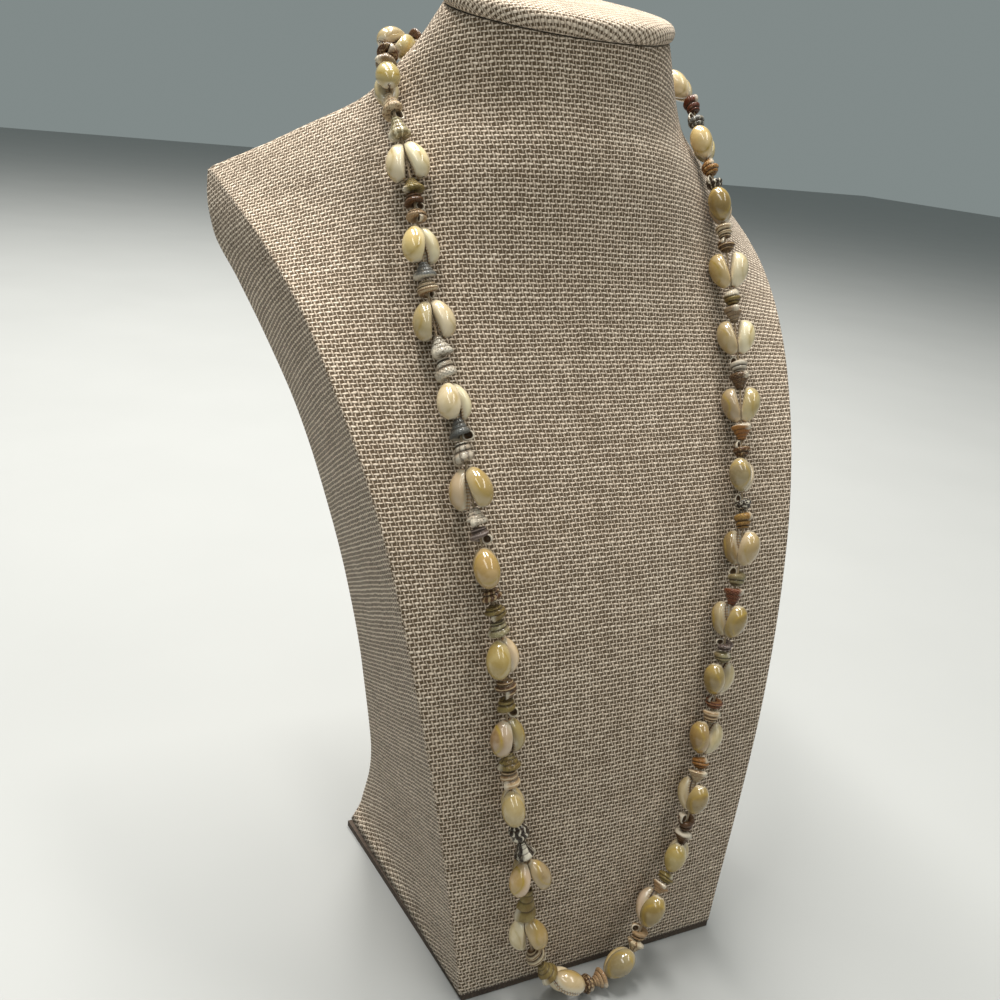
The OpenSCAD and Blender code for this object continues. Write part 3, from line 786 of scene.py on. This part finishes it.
def distances(line):
    """How far along a line of points each of them is."""
    return np.concatenate([[0], np.cumsum(np.linalg.norm(np.diff(line, axis=0), axis=1))])


def trimmed(line, cut_start, cut_end, count):
    """Points spaced evenly along a line, without these lengths at its ends."""
    at = distances(line)
    length = np.linalg.norm(np.diff(line, axis=0), axis=1).sum()
    places = np.linspace(cut_start / length, 1 - cut_end / length, count) * at[-1]
    return np.stack([np.interp(places, at, line[:, k]) for k in range(2)], axis=-1)


def rounded_corner(before, corner, after):
    t = np.linspace(0, 1, CORNER_COLUMNS)[:, None]
    return (1 - t) ** 2 * before + 2 * t * (1 - t) * corner + t**2 * after


def loop_at(h):
    """One closed section of the cloth from the middle of the back round by the left, and the
    distance of each point from the middle of the front."""
    s = section_at(h)
    front = front_curve(s, np.sin(np.linspace(-math.pi / 2, math.pi / 2, FRONT_SAMPLES)))
    right_back = back_curve(s, np.linspace(math.pi / 2, math.pi, BACK_SAMPLES))
    side = np.stack([front[-1], right_back[0]])
    radius = min(FOLD_RADIUS, FOLD_SHARE * np.linalg.norm(side[1] - side[0]))
    front_points = trimmed(front, radius, radius, FRONT_COLUMNS)
    half_front = front_points[FRONT_COLUMNS // 2:]
    side_points = trimmed(side, radius, radius, SIDE_COLUMNS)
    back_points = trimmed(right_back, radius, 0, BACK_COLUMNS // 2 + 1)
    fold = rounded_corner(half_front[-1], side[0], side_points[0])
    edge = rounded_corner(side_points[-1], side[1], back_points[0])
    right = np.concatenate([half_front, fold[1:-1], side_points, edge[1:-1], back_points])
    out = distances(right)
    left = right[::-1] * (-1, 1)
    xy = np.concatenate([left[:-1], right])
    z = h * STAND_H + s["lean"] * math.tan(NECK_TILT) * (xy[:, 1] - STAND_D * SECTIONS[-1, 2])
    points = np.column_stack([xy[:, 0], xy[:, 1] - MIDDLE_Y, z])
    return points, np.concatenate([-out[::-1][:-1], out])


def reached(x, xs, ys):
    """Values along a line at these places, carried on straight beyond its ends."""
    start, end = ((ys[b] - ys[a]) / (xs[b] - xs[a]) for a, b in ((0, 3), (-4, -1)))
    y = np.interp(x, xs, ys)
    y = np.where(x < xs[0], ys[0] + (x - xs[0]) * start, y)
    return np.where(x > xs[-1], ys[-1] + (x - xs[-1]) * end, y)


def carried_rows(grid, across):
    """How far up the cloth each point lies, measured square to the sections and along the
    lines that keep their distance from the panel's middle."""
    up = np.zeros(across.shape)
    for i in range(1, len(grid)):
        below = np.stack([reached(across[i], across[i - 1], grid[i - 1][:, k])
                          for k in range(3)], axis=-1)
        along = np.gradient(grid[i], axis=0)
        along /= np.linalg.norm(along, axis=1)[:, None]
        climb = grid[i] - below
        climb -= (climb * along).sum(axis=1)[:, None] * along
        up[i] = reached(across[i], across[i - 1], up[i - 1]) + np.linalg.norm(climb, axis=1)
    return up


def panel_map(grid, across, first, last):
    """The thread counts of a panel whose flat part runs between two columns, with the
    rounded corners beside it."""
    up = carried_rows(grid[:, first:last + 1], across[:, first:last + 1])
    rows = [reached(s, s[first:last + 1], u) for s, u in zip(across, up)]
    return np.stack([across / WARP_PITCH, np.array(rows) / WEFT_PITCH], axis=-1)


def cloth_piece(name, verts, rows, columns, wall, end, material, node):
    """Cloth of rows that close on themselves, shut at both ends. Its thread counts come from
    wall(row, column, the face's column) and end(row, column)."""
    faces = tube_faces(rows, columns)
    faces += [tuple(range(columns))[::-1], tuple((rows - 1) * columns + c for c in range(columns))]
    corners = [wall(r + up, c + along, c) for r in range(rows - 1) for c in range(columns)
               for up, along in ((0, 0), (0, 1), (1, 1), (1, 0))]
    corners += [end(0, c) for c in reversed(range(columns))]
    corners += [end(rows - 1, c) for c in range(columns)]
    piece = make_piece(name, verts, faces, material, [node])
    layer = piece.data.uv_layers.new(name="threads")
    layer.data.foreach_set("uv", np.asarray(corners, np.float32).ravel())
    return piece


def bust_cloth(material):
    """The linen over the bust: taut panels with rounded folds, mapped by thread counts."""
    bottom = BODY_BOTTOM / STAND_H
    heights = np.linspace(bottom, 1, BUST_ROWS)
    heights = np.unique(np.concatenate([heights, TIPS_AT + np.array(TIP_ROWS)]))
    loops = [loop_at(h) for h in heights]
    grid = np.array([p for p, _ in loops])
    across = np.array([u for _, u in loops])
    rows, columns = grid.shape[0], grid.shape[1] - 1
    middle, front_end = columns // 2, FRONT_COLUMNS // 2
    fold = front_end + CORNER_COLUMNS // 2
    edge = fold + SIDE_COLUMNS + CORNER_COLUMNS - 2
    front = panel_map(grid, across, middle - front_end, middle + front_end)
    # The back, unrolled so that its middle lies between its two halves
    turned = np.roll(np.arange(columns), middle)
    from_back = across[:, turned] - np.where(turned < middle, across[:, :1], across[:, -1:])
    back_end = BACK_COLUMNS // 2
    back = np.empty((rows, columns, 2))
    back[:, turned] = panel_map(grid[:, turned], from_back, middle - back_end, middle + back_end)
    back = np.concatenate([back, back[:, :1]], axis=1)
    cos, sin = math.cos(SIDE_GRAIN), math.sin(SIDE_GRAIN)
    side = grid @ np.array([[0, cos, -sin], [0, sin, cos]]).T / (WARP_PITCH, WEFT_PITCH)

    def wall(r, c, face):
        away = abs(face + 0.5 - middle)
        return (front if away < fold else side if away < edge else back)[r, c]

    flat = grid[..., :2] / (WARP_PITCH, WEFT_PITCH)
    cloth_piece("bust_linen", grid[:, :-1].reshape(-1, 3), rows, columns, wall,
                lambda r, c: flat[r, c], material, "bust_body")


def cap_cloth(material):
    """The padded cap: a crowned disc with a soft round edge, drawn in a little underneath."""
    front, _ = loop_at(1.0)
    middle_column = front[np.argmin(front[:, 1])]
    back_column = front[np.argmax(front[:, 1])]
    middle = (middle_column + back_column) / 2
    middle[0] = 0
    half_d = np.linalg.norm(back_column - middle_column) / 2 + CAP_LIP
    half_w = NECK_W / 2 + CAP_LIP
    outline, at = np.array(CAP_OUTLINE), np.linspace(0, len(CAP_OUTLINE) - 1, CAP_ROWS)
    profile = np.stack([np.interp(at, np.arange(len(outline)), outline[:, k]) for k in range(2)],
                       axis=-1)
    for _ in range(2):
        profile[1:-1] = (profile[:-2] + 2 * profile[1:-1] + profile[2:]) / 4
    rows, columns = CAP_ROWS, CAP_COLUMNS
    turn = np.linspace(0, 2 * math.pi, columns, endpoint=False)
    tilt = np.array(Matrix.Rotation(NECK_TILT, 3, "X"))
    verts = []
    for r, t in profile:
        ring = np.column_stack([half_w * r * np.cos(turn), half_d * r * np.sin(turn),
                                np.full(columns, CAP_T * t + CAP_GAP)])
        verts.append(ring @ tilt.T + middle)
    # The rows' distances from the cap's middle, measured over the cloth
    out = profile[-1, 0] * half_w + distances(profile[::-1] * (half_w, CAP_T))[::-1]
    cos, sin = math.cos(CAP_GRAIN), math.sin(CAP_GRAIN)

    def mapped(r, c):
        a = turn[c % columns]
        x, y = out[r] * math.cos(a), out[r] * math.sin(a) * (half_d / half_w)
        return ((x * cos + y * sin) / (WARP_PITCH * CAP_CLOSER),
                (y * cos - x * sin) / (WEFT_PITCH * CAP_CLOSER))

    piece = cloth_piece("cap_linen", np.concatenate(verts), rows, columns,
                        lambda r, c, _: mapped(r, c), mapped, material, "neck_cap")


# Cowries

def cowrie_frame(points, tri, heading):
    """The place of a cowrie's solid: tip, long axis, side and back, its length, width and
    height, and the planes that cut it as (normal, point)."""
    planes = flat_planes(points, tri, SMALLEST_FLAT)
    _, down, at = planes[0]
    z = -down
    flat = points - np.outer((points - at) @ z, z)
    spread = flat - flat.mean(axis=0)
    x = np.linalg.eigh(spread.T @ spread)[1][:, -1]
    x = unit(x - z * (x @ z))
    if x @ heading < 0:
        x = -x
    y = np.cross(z, x)
    px, py, pz = points @ x, points @ y, (points - at) @ z
    tip = x * px.min() + y * (py.min() + py.max()) / 2 + z * (at @ z)
    cuts = [(n, p) for _, n, p in planes[1:] if n @ down < BASE_NORMAL]
    return tip, x, y, z, px.max() - px.min(), py.max() - py.min(), pz.max(), cuts


def cowrie_mesh(length, width, height, roll):
    """A cowrie along +X, base down: points, and for each its place along, its distance from
    the slit in millimetres and its share of the way from the back's middle to the margin."""
    turn = np.linspace(COWRIE_TIP_ANGLE, math.pi - COWRIE_TIP_ANGLE, COWRIE_ROWS)
    share = (1 - np.cos(turn)) / 2
    v = share**EGG_SHIFT
    egg = (4 * v * (1 - v)) ** EGG_FULL
    t = np.linspace(0, 1, COWRIE_COLUMNS, endpoint=False)
    phi = 2 * math.pi * t + COLUMN_DRAW * np.sin(2 * math.pi * t)
    s, p = np.meshgrid(share, phi, indexing="ij")
    r = np.repeat(egg[:, None], COWRIE_COLUMNS, axis=1)
    half = width / 2
    axis_up = height - half
    sin_p, cos_p = np.sin(p), np.cos(p)
    # The back is a dome, the margin a soft shoulder, and the base a low curve with the slit in it
    y = half * r * signed_power(sin_p, MARGIN_POWER)
    under = axis_up - np.minimum(axis_up, half * r) * np.abs(cos_p) ** BASE_POWER
    z = np.where(cos_p >= 0, axis_up + half * r * cos_p, under)
    x = length * s
    rolled = (p - math.radians(roll)) % (2 * math.pi)
    off_slit = np.abs(half * r * (rolled - math.pi) + SLIT_WAVE * np.sin(SLIT_TURNS * s))
    lips = 1 - smoothstep(SLIT_HALF * 0.5, SLIT_HALF * 2.4, off_slit)
    sunk = SLIT_DEPTH * lips * smoothstep(0.02, 0.15, s)
    y = y - sunk * sin_p
    z = z - sunk * np.where(cos_p >= 0, cos_p, -np.abs(cos_p))
    from_top = np.minimum(rolled, 2 * math.pi - rolled) / MARGIN_TURN
    margin = np.sqrt((MARGIN_SHORT * (s - MARGIN_MIDDLE)) ** 2 + from_top**2)
    points = np.stack([x, y, z], axis=-1).reshape(-1, 3)
    coat = np.stack([s, off_slit / MM, margin], axis=-1).reshape(-1, 3)
    return points, coat


def closed_ends(points, layers, rows, columns):
    """A tube of points with a middle point added at each end, its layers of values the same
    way, and its faces, which look outward."""
    def with_ends(values):
        return np.vstack([values, values[:columns].mean(axis=0), values[-columns:].mean(axis=0)])

    first, last, base = len(points), len(points) + 1, (rows - 1) * columns
    faces = [f[::-1] for f in tube_faces(rows, columns)]
    faces += [(first, c, (c + 1) % columns) for c in range(columns)]
    faces += [(last, base + (c + 1) % columns, base + c) for c in range(columns)]
    return with_ends(points), [with_ends(values) for values in layers], faces


def group_nodes():
    return sorted(n for n in NODES if n.startswith("cowries_"))


def node_centre(node):
    low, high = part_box(node)
    return np.array((low + high) / 2)


def string_row(line):
    """A row of the string's table, as the cowries' finishes and the small shells' kinds."""
    finishes, shells = line.split(": ")
    kinds = [shell.split() for shell in shells.split(", ")]
    return finishes.split(), [(*kind, float(mouth)) for *kind, mouth in kinds]


CENTRES = np.array([node_centre(n) for n in group_nodes()])
ROWS = [string_row(line) for line in STRING.strip().splitlines()]


def heading_at(i):
    return unit(CENTRES[(i + 1) % len(CENTRES)] - CENTRES[i - 1])


def cowrie_group(i, node, material):
    """All cowries of one group, as one piece."""
    solids = solids_of(node)
    right = np.array(CAMERA_RIGHT)
    solids.sort(key=lambda s: s[0].mean(axis=0) @ right)
    finishes = ROWS[i][0]
    shells = []
    for k, (points, tri) in enumerate(solids):
        tip, x, y, z, length, width, height, cuts = cowrie_frame(points, tri, heading_at(i))
        local, coat = cowrie_mesh(length, width, height, ROLLED.get((i + 1, k), 0))
        local, (coat,), faces = closed_ends(local, (coat,), COWRIE_ROWS, COWRIE_COLUMNS)
        world = tip + local @ np.stack([x, y, z])
        for normal, at in cuts:
            beyond = np.maximum((world - at) @ normal, 0)
            world = world - beyond[:, None] * normal
        back, margin, ring = COWRIE_FINISH[finishes[k]]
        vary = 1 + rng.uniform(-COWRIE_VARIES, COWRIE_VARIES, 3)
        n = len(world)
        shells.append((world, faces, {
            "coat": coat, "ring": np.full(n, ring),
            "back_colour": np.tile(np.array(back) * vary, (n, 1)),
            "margin_colour": np.tile(np.array(margin) * vary, (n, 1)),
        }))
    make_shells("cowrie_group_%02d" % (i + 1), shells, material, node)


# Small shells

def shell_frame(points, tri, heading):
    """The place of a small shell's solid: start, axis, a side, length and half width."""
    n, area, _ = face_normals(points, tri)
    vectors = np.linalg.eigh((n * area[:, None]).T @ n)[1].T
    axis = max(vectors, key=lambda v: abs(v @ heading))
    if axis @ heading < 0:
        axis = -axis
    along = points @ axis
    start = points[along < along.min() + END_THICKNESS].mean(axis=0)
    side = unit(np.cross(axis, SHELL_SIDE))
    off_start = points - start
    from_axis = np.linalg.norm(off_start - np.outer(off_start @ axis, axis), axis=1)
    return start, axis, side, along.max() - along.min(), from_axis.max()


def small_shell_mesh(form, length, half, mouth):
    """A shell wound round +X from its narrow end, as a tube that ends in an open mouth at this
    turn round it: its points in rings, for each (turns, how far out and how far along it is on
    the tube) and (painted shade inside the mouth, lip, painted shade in the sutures), and the
    number of rings."""
    outline, whorls, growth, overlap, square = FORMS[form]
    outline = np.array(outline)
    last = 1 - (1 - 1 / whorls) ** growth
    low = SPIRAL_START
    high = (1 + low * overlap * last) / (1 + overlap * last)
    flat, lean = rng.uniform(-SHELL_FLAT, SHELL_FLAT), rng.uniform(*SHELL_LEAN)
    lean_at = rng.uniform(0, 2 * math.pi)
    u = np.linspace(0, 1, int(whorls * SPIRAL_STEPS) + 1)
    size, hollow = np.ones(len(u)), np.zeros(len(u))
    lip = smoothstep(*LIP_EDGES, u)
    # The rings inside the mouth get painted shade, and lose the lip by as much
    for back, share, dark in MOUTH_RINGS:
        u = np.append(u, 1 - back / (2 * math.pi * whorls))
        size, hollow = np.append(size, share), np.append(hollow, dark)
        lip = np.append(lip, 1 - dark)
    turns = whorls * u
    theta = (mouth - 2 * math.pi * (whorls - turns))[:, None]
    at = low + (high - low) * u**growth
    grown = u**growth - np.maximum(u - 1 / whorls, 0) ** growth
    half_step = overlap * (high - low) * grown + SPIRAL_STEP

    def wide(x):
        return np.interp(x, outline[:, 0], outline[:, 1])

    outer = half * wide(at)
    slope = half * (wide(at + 0.05) - wide(at - 0.05)) / 0.1
    inner = SPIRAL_INNER * half
    centre, reach = (outer + inner) / 2, (outer - inner) / 2 * size
    phi = np.linspace(0, 2 * math.pi, SPIRAL_POINTS, endpoint=False)[None]
    out_share = signed_power(np.cos(phi), 2 / square)
    side_share = signed_power(np.sin(phi), 2 / square)
    flare = 1 + LIP_FLARE * lip * (hollow < 0.5) * (size == 1)
    step = (half_step * size)[:, None] * side_share
    sloped = slope[:, None] * step * np.maximum(out_share, 0)
    radial = centre[:, None] + (reach * flare)[:, None] * out_share + sloped
    radial = np.maximum(radial, SPIRAL_LEAST * half)
    radial = radial * (1 + flat * np.cos(2 * theta) + lean * np.cos(theta - lean_at) * u[:, None])
    x = length * (at[:, None] + step * flare[:, None])
    points = np.stack([x, radial * np.cos(theta), radial * np.sin(theta)], axis=-1).reshape(-1, 3)
    older = (u < 1 - 1 / whorls)[:, None]
    # Painted shade in the grooves between whorls, on the outside of the tube
    suture = np.maximum(smoothstep(*SUTURE_EDGES, -side_share),
                        smoothstep(*SUTURE_EDGES, side_share) * older)
    suture = suture * (out_share > -0.3) * (size == 1)[:, None]

    def every(values):
        return np.broadcast_to(values if values.ndim == 2 else values[:, None], suture.shape)

    whorl = np.stack([every(turns), every(out_share), every(side_share)], axis=-1).reshape(-1, 3)
    opening = np.stack([every(hollow), every(lip), suture], axis=-1).reshape(-1, 3)
    return points, whorl, opening, len(u)


def small_shell_places():
    """The solids of both halves of the string, a list for each group of cowries that they
    follow: (place on the way to the next group, points, triangles, node), in order."""
    found = [[] for _ in CENTRES]
    for node in SHELL_SWELL:
        for points, tri in solids_of(node):
            at = (points.min(axis=0) + points.max(axis=0)) / 2
            best = None
            for i, a in enumerate(CENTRES):
                way = CENTRES[(i + 1) % len(CENTRES)] - a
                t = np.clip((at - a) @ way / (way @ way), 0, 1)
                miss = np.linalg.norm(a + t * way - at)
                if best is None or miss < best[0]:
                    best = (miss, i, t)
            found[best[1]].append((best[2], points, tri, node))
    return [sorted(row, key=lambda solid: solid[0]) for row in found]


def small_shells(material):
    """Both halves of the string's small shells, a piece for each CAD node."""
    shells = {node: [] for node in SHELL_SWELL}
    for i, row in enumerate(small_shell_places()):
        kinds = ROWS[i][1]
        if len(row) != len(kinds):
            raise ValueError("group %d has %d small shells, not %d" % (i + 1, len(row), len(kinds)))
        heading = unit(CENTRES[(i + 1) % len(CENTRES)] - CENTRES[i])
        for (_, points, tri, node), (form, palette, pattern, mouth) in zip(row, kinds):
            tip, axis, side, length, half = shell_frame(points, tri, heading)
            across = np.cross(axis, side)
            to_camera = np.array(CAMERA_AT) - tip
            facing = math.atan2(to_camera @ across, to_camera @ side)
            local, whorl, opening, rings = small_shell_mesh(
                form, length, half * SHELL_SWELL[node], facing + math.radians(mouth - MOUTH_FRONT))
            *marks, beads, pale_from = PATTERNS[pattern]
            pale = smoothstep(pale_from, pale_from + PALE_EDGE, local[:, 0] / length)
            outside = (pale_from < 1) * (opening[:, 0] < 0.5)
            opening[:, 1] = np.maximum(opening[:, 1], pale * outside)
            world = tip + local @ np.stack([axis, side, across])
            world, (whorl, opening), faces = closed_ends(
                world, (whorl, opening), rings, SPIRAL_POINTS)
            ground, marking = (np.array(c) * (1 + rng.uniform(-SHELL_VARIES, SHELL_VARIES))
                               for c in PALETTES[palette])
            n = len(world)
            shells[node].append((world, faces, {
                "whorl": whorl, "opening": opening, "pattern": np.tile(marks, (n, 1)),
                "knobs": np.full(n, beads), "ground_colour": np.tile(ground, (n, 1)),
                "marking_colour": np.tile(marking, (n, 1)),
            }))
    for node, row in shells.items():
        make_shells(node.replace("small_shells", "sea_shells"), row, material, node)


def carried_over(node, material):
    """A CAD node that stays, with its own finish."""
    data = NODES[node].data
    data.materials.clear()
    data.materials.append(material)


# Stage, lights and camera

def make_floor():
    mesh = bpy.data.meshes.new("floor")
    corners = [(x * FLOOR_HALF, y * FLOOR_HALF, 0) for x, y in ((-1, -1), (1, -1), (1, 1), (-1, 1))]
    mesh.from_pydata(corners, [], [(0, 1, 2, 3)])
    mesh.materials.append(floor_material())
    floor = bpy.data.objects.new("floor", mesh)
    bpy.context.scene.collection.objects.link(floor)


def ceiling_light(name, x, start, end, width, power):
    """A long light panel overhead that runs along Y and is turned towards the bust."""
    light = bpy.data.lights.new(name, "AREA")
    light.shape = "RECTANGLE"
    light.size, light.size_y = width, end - start
    light.energy, light.color = power, LIGHT_COLOUR
    lamp = bpy.data.objects.new(name, light)
    lamp.location = (x, (start + end) / 2, LIGHT_HEIGHT)
    lamp.rotation_euler = (0, math.atan2(x, LIGHT_HEIGHT - LIGHT_AIM_HEIGHT), 0)
    bpy.context.scene.collection.objects.link(lamp)


def make_lights():
    for row in CEILING_LIGHTS:
        ceiling_light(*row)
    world = bpy.data.worlds.new("studio")
    world.use_nodes = True
    back = world.node_tree.nodes["Background"]
    back.inputs["Color"].default_value = (*WORLD_COLOUR, 1)
    back.inputs["Strength"].default_value = WORLD_STRENGTH
    bpy.context.scene.world = world
    bpy.context.scene.view_settings.view_transform = "Standard"


def make_camera():
    data = bpy.data.cameras.new("camera")
    data.lens = CAMERA_LENS
    data.sensor_width = CAMERA_SENSOR
    data.clip_start, data.clip_end = CAMERA_CLIP
    camera = bpy.data.objects.new("camera", data)
    right, up = Vector(CAMERA_RIGHT), Vector(CAMERA_UP)
    turn = Matrix((right, up, right.cross(up))).transposed()
    camera.matrix_world = Matrix.Translation(CAMERA_AT) @ turn.to_4x4()
    bpy.context.scene.collection.objects.link(camera)
    bpy.context.scene.camera = camera


def main():
    make_camera()
    make_floor()
    make_lights()
    bust_cloth(linen_material("linen"))
    cap_cloth(linen_material("cap_linen", CAP_THICKER))
    cowrie = cowrie_material()
    for i, node in enumerate(group_nodes()):
        cowrie_group(i, node, cowrie)
    small_shells(small_shell_material())
    carried_over("thread", thread_material())
    carried_over("base_board", board_material())


main()

bpy.context.view_layer.update()
